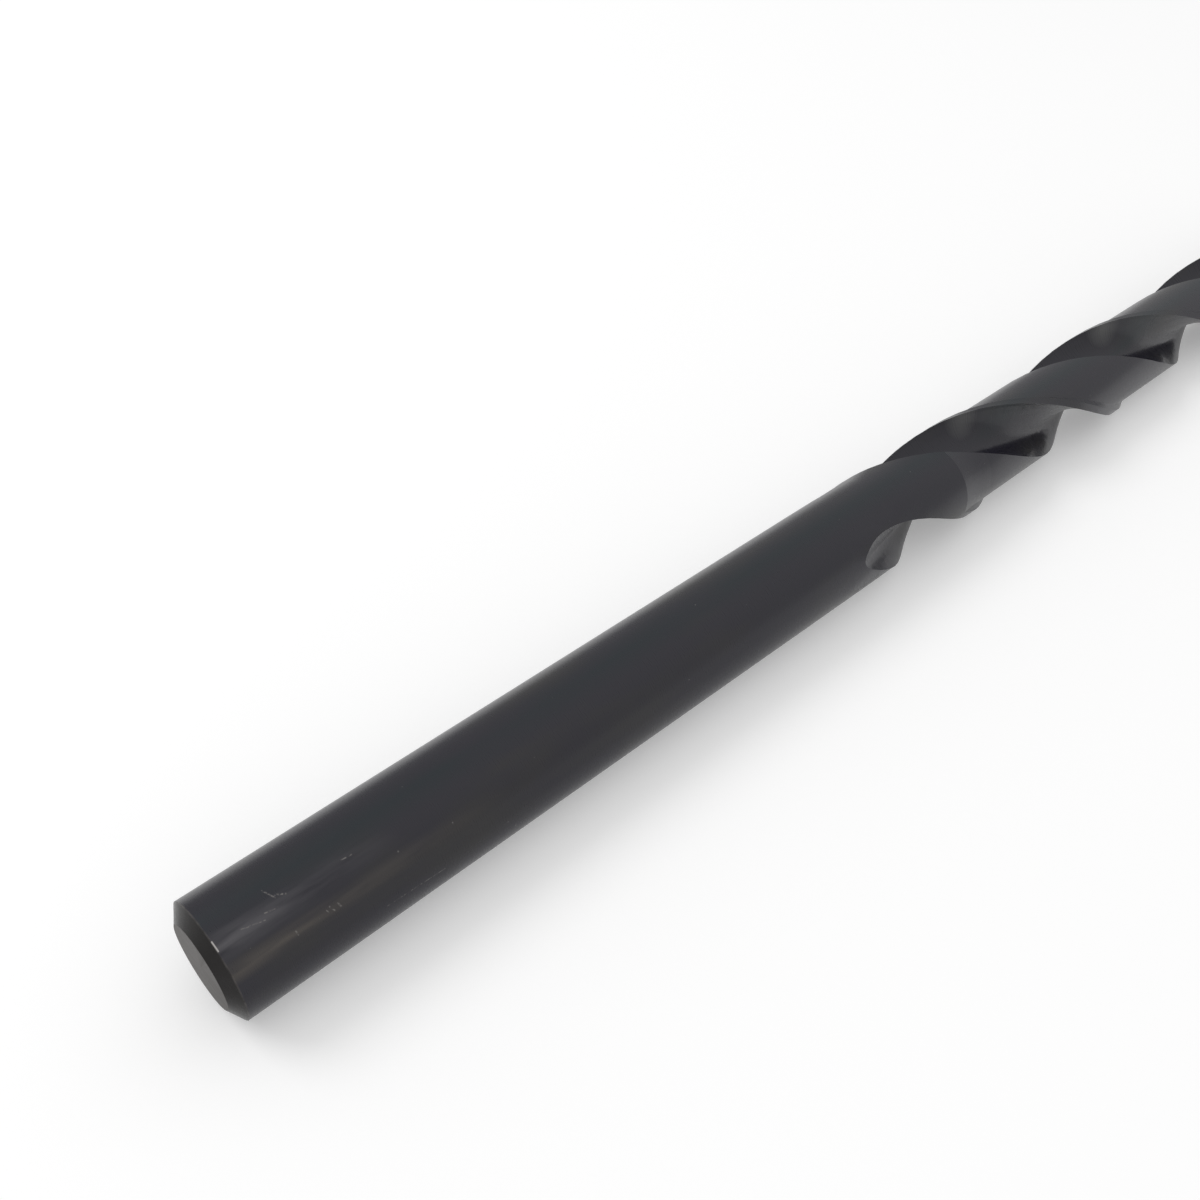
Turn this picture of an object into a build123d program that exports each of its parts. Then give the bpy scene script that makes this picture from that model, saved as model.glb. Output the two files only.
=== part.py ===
from build123d import *
import math
import os

os.makedirs("parts", exist_ok=True)

# Sizes in millimetres, angles in degrees. The drill lies along X: the ground
# flat of the shank end is at X = 0 and the point looks along +X. Angles about
# the axis run from +Y towards +Z, which is also the way the drill turns.

# Blank
diameter = 9.525                 # cutting diameter over the margins at the lips, 3/8 in
overall_length = 171.45          # shank end to the outer corners of the lips, 6 3/4 in
shank_diameter = 9.48            # the body tapers back to this, to run free in the hole
shank_length = 63.5              # plain shank, 2 1/2 in
shank_end_flat = 6.82            # diameter of the flat on the shank end
shank_cone_angle = 120           # included angle of the bevel around that flat

# Flutes
helix_angle = 29                 # right-hand helix, measured at the margins
flute_angle = 84                 # margin edge to heel edge, about the axis
web_at_point = 1.5               # web thickness at the lips
web_at_shank = 2.9               # web thickness where the flutes reach full depth
web_contact_angle = 50           # where the flute floor touches the web, from the margin edge
rake_hook = 8                    # rake wall at the margin edge, off the radial line
heel_lean = 20                   # heel wall, off the radial line
edge_flat = 0.4                  # straight part of each wall, just inside its edge
rake_pull = 3.2                  # reach of the rake wall's own direction into the flute
heel_pull = 2.1                  # the same for the heel wall
floor_sweep = 15.5               # the same for the floor: more is rounder
lip_corner_angle = 85.7          # position of the first lip corner about the axis

# Run-out of the flutes into the shank
full_depth_station = 77.3        # last station at full depth, from the shank end
cutter_radius = 22.7             # wheel that leaves the run-out
lift_angle = 29.5                # direction in which the wheel lifts, from the margin edge

# Lands
margin_width = 1.16              # full-diameter strip behind each cutting edge
body_clearance = 0.51            # depth by which the rest of the land is cleared
clearance_start = 80.4           # where the clearance begins, from the shank end

# Point
point_angle = 118                # included angle of the lips
lip_relief_angle = 11            # clearance of the flank, square to the lip
flank_cone_angle = 52            # included angle of the cone that forms each flank
flank_apex_distance = 19         # cone apex beyond the axis, along the lip line

# Spacing of the lofted sections
section_turn = 15                # turn between sections along the helix
runout_pitch = 2.2               # axial spacing of sections in the run-out

radius = diameter / 2
lead = math.pi * diameter / math.tan(math.radians(helix_angle))
half_point = math.radians(point_angle / 2)
point_height = radius / math.tan(half_point)
half_turn = 180


def polar(distance, angle):
    """Point in a section plane, given by its distance from the axis."""
    return Vector(
        distance * math.cos(math.radians(angle)),
        distance * math.sin(math.radians(angle)),
    )


def margin_angle(station):
    """Angle of the first margin edge at a station of the true helix."""
    return lip_corner_angle + (station - overall_length) * 2 * half_turn / lead


def section_plane(station, angle):
    """Plane square to the axis, with its own X through the margin edge."""
    turned = polar(1, angle)
    return Plane(origin=(station, 0, 0), x_dir=(0, turned.X, turned.Y), z_dir=(1, 0, 0))


def web_radius(station):
    """Half the web, which thickens evenly from the point to the run-out."""
    taper = (web_at_shank - web_at_point) / (overall_length - full_depth_station)
    return (web_at_shank - (station - full_depth_station) * taper) / 2


# ---------------------------------------------------------------- flute tool
# The space swept by the flute wheel: one closed profile, lofted along the
# helix. Its working side is one fifth-degree curve, whose two middle poles are
# set so that it touches the web at the floor point. Past full depth the wheel
# leaves along the tangent of the helix and rises on its own radius, which gives
# the rounded run-out.
reach = radius                            # how far the profile stands outside the drill
exit_length = math.sqrt(2 * cutter_radius * radius)
flute_end = overall_length + point_height


def flute_stations():
    """Stations of the flute sections, from the run-out to beyond the point."""
    runout_count = math.ceil(exit_length / runout_pitch)
    runout = [full_depth_station - exit_length * (1 - i / runout_count) for i in range(runout_count)]
    helix_pitch = lead * section_turn / (2 * half_turn)
    helix_count = math.ceil((flute_end - full_depth_station) / helix_pitch)
    return runout + [full_depth_station + i * helix_pitch for i in range(helix_count + 1)]


with BuildPart() as flute_tool:
    for station in flute_stations():
        exit_travel = max(full_depth_station - station, 0)
        on_helix = margin_angle(max(station, full_depth_station))
        leaving = math.degrees(math.atan(2 * math.pi * exit_travel / lead))
        lift = polar(exit_travel**2 / (2 * cutter_radius), lift_angle)
        floor_radius = web_radius(max(station, full_depth_station))
        margin_edge = polar(radius, 0) + lift
        floor_point = polar(floor_radius, web_contact_angle) + lift
        heel_edge = polar(radius, flute_angle) + lift
        rake_wall = polar(1, rake_hook)
        heel_wall = polar(1, flute_angle + heel_lean)
        along_floor = polar(1, web_contact_angle + half_turn / 2)
        crown = polar(radius + reach, flute_angle / 2) + lift
        rake_start = margin_edge - rake_wall * edge_flat
        heel_start = heel_edge - heel_wall * edge_flat
        rake_pole = rake_start - rake_wall * rake_pull
        heel_pole = heel_start - heel_wall * heel_pull
        walls = rake_start + heel_start + (rake_pole + heel_pole) * 5
        floor_middle = (floor_point * 32 - walls) / 20
        across = rake_start - heel_start + (rake_pole - heel_pole) * 3
        floor_half = (across + along_floor * floor_sweep) / 4
        with BuildSketch(section_plane(station, on_helix - leaving)):
            with BuildLine():
                Bezier(
                    rake_start,
                    rake_pole,
                    floor_middle - floor_half,
                    floor_middle + floor_half,
                    heel_pole,
                    heel_start,
                )
                Polyline(
                    heel_start,
                    heel_edge + heel_wall * reach,
                    crown,
                    margin_edge + rake_wall * reach,
                    rake_start,
                )
            make_face()
    loft()

# -------------------------------------------------------------- margin strip
# The full-diameter strip left behind a cutting edge. It overlaps the flute in
# front, and its back wall is the inclined step down to the cleared land.
margin_turn = math.degrees(margin_width / radius)
step_turn = math.degrees(body_clearance / radius)


def strip_stations():
    """Stations of the margin sections, from the clearance to beyond the point."""
    helix_pitch = lead * section_turn / (2 * half_turn)
    helix_count = math.ceil((flute_end - clearance_start) / helix_pitch) + 1
    return [clearance_start + (i - 1) * helix_pitch for i in range(helix_count + 2)]


with BuildPart() as margin_strip:
    for station in strip_stations():
        with BuildSketch(section_plane(station, margin_angle(station))):
            with BuildLine():
                Polyline(
                    polar(radius - 2 * body_clearance, margin_turn),
                    polar(radius + 2 * body_clearance, margin_turn),
                    polar(radius + 2 * body_clearance, -margin_turn + 2 * step_turn),
                    polar(radius - 2 * body_clearance, -margin_turn - 2 * step_turn),
                    polar(radius - 2 * body_clearance, margin_turn),
                )
            make_face()
    loft()

# ------------------------------------------------------------ clearance tool
# Behind each margin the land is ground to a smaller radius, so that only the
# narrow margin touches the wall of the hole. The wheel eases in on its radius.
# A turned ring is parted by the two margins, and one of its halves is one cut.
ease_in = math.sqrt(2 * cutter_radius * body_clearance)
land_radius = radius - body_clearance
outside = radius + body_clearance
clearance_end = flute_end + runout_pitch
ring_seam = polar(1, margin_angle(clearance_start))

with BuildPart() as clearance_tool:
    with BuildSketch(Plane(origin=(0, 0, 0), x_dir=(1, 0, 0), z_dir=(0, -ring_seam.Y, ring_seam.X))):
        with BuildLine():
            TangentArc((clearance_start + ease_in, land_radius), (clearance_start, radius), tangent=(-1, 0))
            Polyline(
                (clearance_start, radius),
                (clearance_start, outside),
                (clearance_end, outside),
                (clearance_end, land_radius),
                (clearance_start + ease_in, land_radius),
            )
        make_face()
    revolve(axis=Axis.X)
    for turn in (0, half_turn):
        add(margin_strip.part.rotate(Axis.X, turn), mode=Mode.SUBTRACT)

land_cut = clearance_tool.solids().sort_by(Axis.Y)[-1]

# ---------------------------------------------------------------- point tool
# Each flank is part of a cone that holds the lip as one of its straight lines
# and falls away behind it. The two cones meet over the web in the chisel edge.
web_turn = math.degrees(math.asin(web_at_point / diameter))
lip_out = polar(1, lip_corner_angle - web_turn)
lip_side = polar(1, lip_corner_angle - web_turn + half_turn / 2)
axis_x = Vector(1, 0, 0)
lip_across = Vector(0, lip_out.X, lip_out.Y)
lip_ahead = Vector(0, lip_side.X, lip_side.Y)
lip_line = lip_across * math.sin(half_point) - axis_x * math.cos(half_point)
lip_normal = lip_across * math.cos(half_point) + axis_x * math.sin(half_point)
relief = math.radians(lip_relief_angle)
flank_normal = lip_normal * math.cos(relief) - lip_ahead * math.sin(relief)
half_cone = math.radians(flank_cone_angle / 2)
cone_axis = lip_line * math.cos(half_cone) - flank_normal * math.sin(half_cone)
corner = polar(radius, lip_corner_angle)
lip_corner = Vector(overall_length, corner.X, corner.Y)
lip_length = radius / math.sin(half_point)
cone_apex = lip_corner - lip_line * (lip_length + flank_apex_distance)
cone_height = 2 * (lip_length + flank_apex_distance)
tip_block = 2 * point_height

with BuildPart() as point_tool:
    with Locations(Plane(origin=(overall_length - point_height, 0, 0), z_dir=(1, 0, 0))):
        Cylinder(diameter, tip_block, align=(Align.CENTER, Align.CENTER, Align.MIN))
    with Locations(Plane(origin=cone_apex + cone_axis * cone_height, z_dir=-cone_axis)):
        Cone(
            cone_height * math.tan(half_cone),
            0,
            cone_height,
            align=(Align.CENTER, Align.CENTER, Align.MIN),
            mode=Mode.SUBTRACT,
        )

# --------------------------------------------------------------- twist drill
# One bar of high-speed steel: turned blank, two flutes, two cleared lands and
# the ground point. The blank's surfaces close on themselves along a seam, which
# stands in the middle of a flute where the clearance begins.
shank_radius = shank_diameter / 2
bevel_height = (shank_diameter - shank_end_flat) / 2
bevel_length = bevel_height / math.tan(math.radians(shank_cone_angle / 2))
back_taper = (radius - shank_radius) / (overall_length - shank_length)
tip_radius = shank_radius + back_taper * (flute_end - shank_length)
seam_angle = margin_angle(clearance_start) + flute_angle / 2
from_here = (Align.CENTER, Align.CENTER, Align.MIN)

with BuildPart() as twist_drill:
    with Locations(section_plane(0, seam_angle)):
        Cone(shank_end_flat / 2, shank_radius, bevel_length, align=from_here)
    with Locations(section_plane(bevel_length, seam_angle)):
        Cylinder(shank_radius, shank_length - bevel_length, align=from_here)
    with Locations(section_plane(shank_length, seam_angle)):
        Cone(shank_radius, tip_radius, flute_end - shank_length, align=from_here)
    for turn in (0, half_turn):
        add(flute_tool.part.rotate(Axis.X, turn), mode=Mode.SUBTRACT)
    add(land_cut, mode=Mode.SUBTRACT)
    add(land_cut.rotate(Axis.X, half_turn), mode=Mode.SUBTRACT)
    for turn in (0, half_turn):
        add(point_tool.part.rotate(Axis.X, turn), mode=Mode.SUBTRACT)

twist_drill.part.label = "twist_drill"
export_step(twist_drill.part, "parts/twist_drill.step")
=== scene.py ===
import math

import bpy
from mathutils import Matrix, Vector


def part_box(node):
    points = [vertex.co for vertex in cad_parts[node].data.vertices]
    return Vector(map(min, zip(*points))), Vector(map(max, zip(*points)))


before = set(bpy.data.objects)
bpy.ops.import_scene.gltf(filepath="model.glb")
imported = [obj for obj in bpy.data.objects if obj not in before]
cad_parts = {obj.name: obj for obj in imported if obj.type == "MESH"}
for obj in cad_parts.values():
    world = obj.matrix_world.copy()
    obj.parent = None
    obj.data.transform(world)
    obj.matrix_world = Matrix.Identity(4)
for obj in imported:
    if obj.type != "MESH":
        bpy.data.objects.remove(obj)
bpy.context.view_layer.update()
scene = bpy.context.scene
scene.view_settings.view_transform = "Standard"

# ---------------------------------------------------------------- drill body
# One bar of high-speed steel, centreless ground and then blued in a hot salt
# bath, which leaves a thin satin black oxide. The shank end is ground bare
# after the bath, and the chuck has rubbed and scratched the last few
# millimetres of the shank.
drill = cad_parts["twist_drill"]
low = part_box("twist_drill")[0]
shank_radius = 0.00474
bevel_length = 0.000768

oxide = bpy.data.materials.new("black_oxide_steel")
oxide.use_nodes = True
nodes = oxide.node_tree.nodes
links = oxide.node_tree.links
nodes.clear()
output = nodes.new("ShaderNodeOutputMaterial")
surface = nodes.new("ShaderNodeBsdfPrincipled")
links.new(surface.outputs["BSDF"], output.inputs["Surface"])
place = nodes.new("ShaderNodeTexCoord")
split = nodes.new("ShaderNodeSeparateXYZ")
links.new(place.outputs["Object"], split.inputs[0])
along = split.outputs["X"]


def plug(value, socket):
    """Sets a socket to a number or colour, or links another socket to it."""
    if isinstance(value, bpy.types.NodeSocket):
        links.new(value, socket)
    else:
        socket.default_value = value


def calculate(operation, *values):
    """One Math node."""
    node = nodes.new("ShaderNodeMath")
    node.operation = operation
    for value, socket in zip(values, node.inputs):
        plug(value, socket)
    return node.outputs[0]


def ramp(value, start, end, low_value=0.0, high_value=1.0):
    """Maps a value from one range to another, held at both ends."""
    node = nodes.new("ShaderNodeMapRange")
    plug(value, node.inputs["Value"])
    node.inputs["From Min"].default_value = start
    node.inputs["From Max"].default_value = end
    node.inputs["To Min"].default_value = low_value
    node.inputs["To Max"].default_value = high_value
    return node.outputs[0]


def blend(factor, first, second):
    """One colour blended into another by a factor from 0 to 1."""
    node = nodes.new("ShaderNodeMix")
    node.data_type = "RGBA"
    plug(factor, node.inputs[0])
    plug(first, node.inputs[6])
    plug(second, node.inputs[7])
    return node.outputs[2]


# the rolled-out surface: metres along the drill and metres around it
angle = calculate("ARCTAN2", split.outputs["Z"], split.outputs["Y"])
around = calculate("MULTIPLY", angle, shank_radius)
sheet = nodes.new("ShaderNodeCombineXYZ")
links.new(along, sheet.inputs["X"])
links.new(around, sheet.inputs["Y"])


def noise(source, scale, detail, stretch):
    """A noise pattern over one set of coordinates, stretched by axis."""
    mapping = nodes.new("ShaderNodeMapping")
    links.new(source, mapping.inputs["Vector"])
    mapping.inputs["Scale"].default_value = stretch
    texture = nodes.new("ShaderNodeTexNoise")
    links.new(mapping.outputs[0], texture.inputs["Vector"])
    texture.inputs["Scale"].default_value = scale
    texture.inputs["Detail"].default_value = detail
    return texture.outputs[0]


def band(degrees, half_width):
    """A soft lengthwise band around one angle about the axis."""
    away = calculate("ABSOLUTE", calculate("SUBTRACT", angle, math.radians(degrees)))
    return ramp(away, 0, math.radians(half_width), 1, 0)


def scratch(first_along, first_degrees, last_along, last_degrees, width):
    """A fine line on the rolled-out surface, in millimetres and degrees."""
    first = Vector((first_along / 1000, math.radians(first_degrees) * shank_radius, 0))
    last = Vector((last_along / 1000, math.radians(last_degrees) * shank_radius, 0))
    run = last - first
    offset = nodes.new("ShaderNodeVectorMath")
    offset.operation = "SUBTRACT"
    links.new(sheet.outputs[0], offset.inputs[0])
    offset.inputs[1].default_value = first
    share = nodes.new("ShaderNodeVectorMath")
    share.operation = "DOT_PRODUCT"
    links.new(offset.outputs[0], share.inputs[0])
    share.inputs[1].default_value = run / run.length_squared
    held = calculate("MINIMUM", calculate("MAXIMUM", share.outputs["Value"], 0), 1)
    foot = nodes.new("ShaderNodeVectorMath")
    foot.operation = "SCALE"
    foot.inputs[0].default_value = run
    links.new(held, foot.inputs["Scale"])
    gap = nodes.new("ShaderNodeVectorMath")
    gap.operation = "DISTANCE"
    links.new(offset.outputs[0], gap.inputs[0])
    links.new(foot.outputs[0], gap.inputs[1])
    return ramp(gap.outputs["Value"], width / 4000, width / 1000, 1, 0)


point = place.outputs["Object"]
rolled = sheet.outputs[0]
clouds = noise(point, 110, 3, (0.25, 1, 1))
patches = noise(point, 230, 4, (0.3, 1, 1))
streaks = noise(rolled, 1400, 3, (0.12, 1, 1))
grain = noise(rolled, 9000, 2, (1, 0.12, 1))

# satin black with the faint violet and teal of the oxide
black_oxide = (0.0125, 0.0115, 0.0185, 1)
teal_oxide = (0.0065, 0.0115, 0.0165, 1)
brown_oxide = (0.021, 0.02, 0.017, 1)
colour = blend(ramp(patches, 0.5, 0.68, 0, 0.55), black_oxide, brown_oxide)
teal = calculate("MULTIPLY", band(96, 22), ramp(clouds, 0.42, 0.52))
colour = blend(teal, colour, teal_oxide)

# rubbed bands on the last millimetres of the shank
near_end = ramp(along, 0.002, 0.015, 1, 0)
rubbed = calculate("MULTIPLY", near_end, ramp(streaks, 0.35, 0.6))
grey_rub = calculate("MULTIPLY", rubbed, band(120, 15))
brown_rub = calculate("MULTIPLY", ramp(along, 0.004, 0.024, 1, 0), band(144, 11))
brown_rub = calculate("MULTIPLY", brown_rub, ramp(streaks, 0.3, 0.6, 0.35, 1))
colour = blend(grey_rub, colour, (0.075, 0.072, 0.08, 1))
colour = blend(brown_rub, colour, (0.07, 0.061, 0.054, 1))

# painted highlights: soft grey spots in the flutes, where the concave flute walls catch a reflection
painted_highlight_spots = [
    ((0.087, 0.0009, 0.0042), 0.1),
    ((0.1142, 0.0016, 0.004), 0.09),
    ((0.0812, 0.0022, 0.004), 0.07),
]
for spot, grey in painted_highlight_spots:
    gap = nodes.new("ShaderNodeVectorMath")
    gap.operation = "DISTANCE"
    links.new(point, gap.inputs[0])
    gap.inputs[1].default_value = spot
    colour = blend(ramp(gap.outputs["Value"], 0.0004, 0.0022, 1, 0), colour, (grey, grey, grey, 1))

# fine scratches, most of them near the shank end
marks = [
    scratch(5.1, 98, 5.6, 111, 0.07),
    scratch(5.7, 109, 6.3, 113, 0.09),
    scratch(4.5, 117, 5.4, 119, 0.06),
    scratch(3.3, 119, 4.3, 122, 0.06),
    scratch(2.6, 117, 3.2, 119, 0.06),
    scratch(8.3, 142, 8.5, 147, 0.08),
    scratch(8.9, 143.5, 9, 147, 0.09),
    scratch(8, 143, 8.1, 146, 0.06),
    scratch(5.6, 143, 5.65, 147.5, 0.07),
    scratch(10.6, 115, 11.4, 116, 0.06),
    scratch(12, 175, 17, 178, 0.04),
]
scratched = marks[0]
for mark in marks[1:]:
    scratched = calculate("MAXIMUM", scratched, mark)
scratched = calculate("MULTIPLY", scratched, ramp(noise(rolled, 5000, 2, (1, 1, 1)), 0.42, 0.62))
colour = blend(scratched, colour, (0.16, 0.15, 0.145, 1))

# sparse specks of dust
specks = nodes.new("ShaderNodeTexVoronoi")
specks.voronoi_dimensions = "2D"
links.new(rolled, specks.inputs["Vector"])
specks.inputs["Scale"].default_value = 210
size_draw = nodes.new("ShaderNodeSeparateColor")
links.new(specks.outputs["Color"], size_draw.inputs[0])
speck_size = ramp(size_draw.outputs[0], 0.3, 1, 0, 0.014)
dust = calculate("LESS_THAN", specks.outputs["Distance"], speck_size)
colour = blend(calculate("MULTIPLY", dust, 0.6), colour, (0.16, 0.155, 0.15, 1))

# painted shade: the bevel is made darker and browner than the oxide, standing in for the dark
# surroundings it reflects
painted_shade_on_bevel = calculate("LESS_THAN", along, bevel_length)
colour = blend(painted_shade_on_bevel, colour, (0.006, 0.0045, 0.0042, 1))
from_edge = calculate("ABSOLUTE", calculate("SUBTRACT", along, bevel_length))
edge_wear = calculate("MULTIPLY", ramp(from_edge, 0, 0.00007, 1, 0), ramp(streaks, 0.4, 0.6, 0.15, 0.5))
colour = blend(edge_wear, colour, (0.12, 0.11, 0.105, 1))
nick = scratch(0.8, 113, 0.82, 122, 0.07)
colour = blend(nick, colour, (0.45, 0.43, 0.42, 1))

# the flat of the shank end is ground bare and has only a thin grey film
on_flat = calculate("LESS_THAN", along, 0.00001)
grinding = noise(point, 9000, 2, (1, 0.05, 1))
ground_steel = blend(ramp(grinding, 0.35, 0.65), (0.12, 0.112, 0.108, 1), (0.078, 0.073, 0.069, 1))
colour = blend(on_flat, colour, ground_steel)

links.new(colour, surface.inputs["Base Color"])
surface.inputs["Metallic"].default_value = 0.0
surface.inputs["IOR"].default_value = 1.47
rough = ramp(grain, 0.3, 0.7, 0.265, 0.305)
rough = calculate("ADD", rough, calculate("MULTIPLY", grey_rub, 0.12))
rough = calculate("ADD", rough, calculate("MULTIPLY", on_flat, 0.2))
links.new(rough, surface.inputs["Roughness"])
# painted shade: the specular level falls to 0.15 on the bevel, so it reflects less of the room
specular_with_painted_shade = ramp(along, bevel_length, bevel_length + 0.00003, 0.15, 0.5)
# painted shade: the specular level is lowered by up to a third on the underside of the first 75 mm, so
# that side reflects less of the floor
under = calculate("COSINE", calculate("SUBTRACT", angle, math.radians(190)))
painted_shade_under = calculate("MULTIPLY", ramp(under, 0.75, 0.92), ramp(along, 0.05, 0.075, 0.34, 0))
specular_with_painted_shade = calculate("MULTIPLY", specular_with_painted_shade, calculate("SUBTRACT", 1, painted_shade_under))
links.new(specular_with_painted_shade, surface.inputs["Specular IOR Level"])
bump = nodes.new("ShaderNodeBump")
bump.inputs["Strength"].default_value = 0.02
bump.inputs["Distance"].default_value = 0.00001
links.new(calculate("SUBTRACT", grain, scratched), bump.inputs["Height"])
links.new(bump.outputs[0], surface.inputs["Normal"])

drill.data.materials.clear()
drill.data.materials.append(oxide)

# --------------------------------------------------------------------- floor
# A plain pale table top under the drill.
bpy.ops.object.select_all(action="DESELECT")
bpy.ops.mesh.primitive_plane_add(size=6, location=(0, 0, low[2]))
floor = bpy.context.active_object
floor.name = "floor"
table_top = bpy.data.materials.new("table_top")
table_top.use_nodes = True
nodes = table_top.node_tree.nodes
links = table_top.node_tree.links
board = nodes["Principled BSDF"]
board.inputs["Base Color"].default_value = (0.8, 0.8, 0.8, 1)
board.inputs["Roughness"].default_value = 0.9
board.inputs["Specular IOR Level"].default_value = 0.0
board.inputs["Emission Color"].default_value = (1, 1, 1, 1)
path = nodes.new("ShaderNodeLightPath")
seen = calculate("MAXIMUM", path.outputs["Is Camera Ray"], path.outputs["Is Glossy Ray"])
seen = calculate("MAXIMUM", seen, path.outputs["Is Transmission Ray"])
links.new(calculate("MULTIPLY", seen, 0.27), board.inputs["Emission Strength"])
floor.data.materials.append(table_top)

# -------------------------------------------------------------------- lights
# A pale room that is brightest overhead, a little towards the near side, and
# one wide soft lamp high on the far side, beyond the shank end.
world = bpy.data.worlds.new("room")
scene.world = world
world.use_nodes = True
nodes = world.node_tree.nodes
links = world.node_tree.links
outlook = nodes.new("ShaderNodeTexCoord")
facing = nodes.new("ShaderNodeVectorMath")
facing.operation = "DOT_PRODUCT"
links.new(outlook.outputs["Generated"], facing.inputs[0])
facing.inputs[1].default_value = (0.265, -0.313, 0.914)
nodes["Background"].inputs["Color"].default_value = (1, 1, 1, 1)
links.new(ramp(facing.outputs["Value"], -1, 1, 0.16, 0.87), nodes["Background"].inputs["Strength"])

bpy.ops.object.light_add(type="AREA", location=(-0.2, 0.35, 0.5))
lamp = bpy.context.active_object
lamp.data.shape = "DISK"
lamp.data.size = 0.35
lamp.data.energy = 1.1
lamp.rotation_euler = (Vector((0.08, 0, 0)) - lamp.location).to_track_quat("-Z", "Y").to_euler()

# -------------------------------------------------------------------- camera
# Close above the shank end, looking along the drill.
eye = Vector((-0.01127, -0.05223, 0.07458))
sight = Vector((0.5022, 0.5503, -0.6671))
camera_data = bpy.data.cameras.new("camera")
camera = bpy.data.objects.new("camera", camera_data)
scene.collection.objects.link(camera)
camera.location = eye
camera.rotation_euler = sight.to_track_quat("-Z", "Y").to_euler()
camera_data.sensor_width = 36
camera_data.lens = 37.5
camera_data.clip_start = 0.001
scene.camera = camera
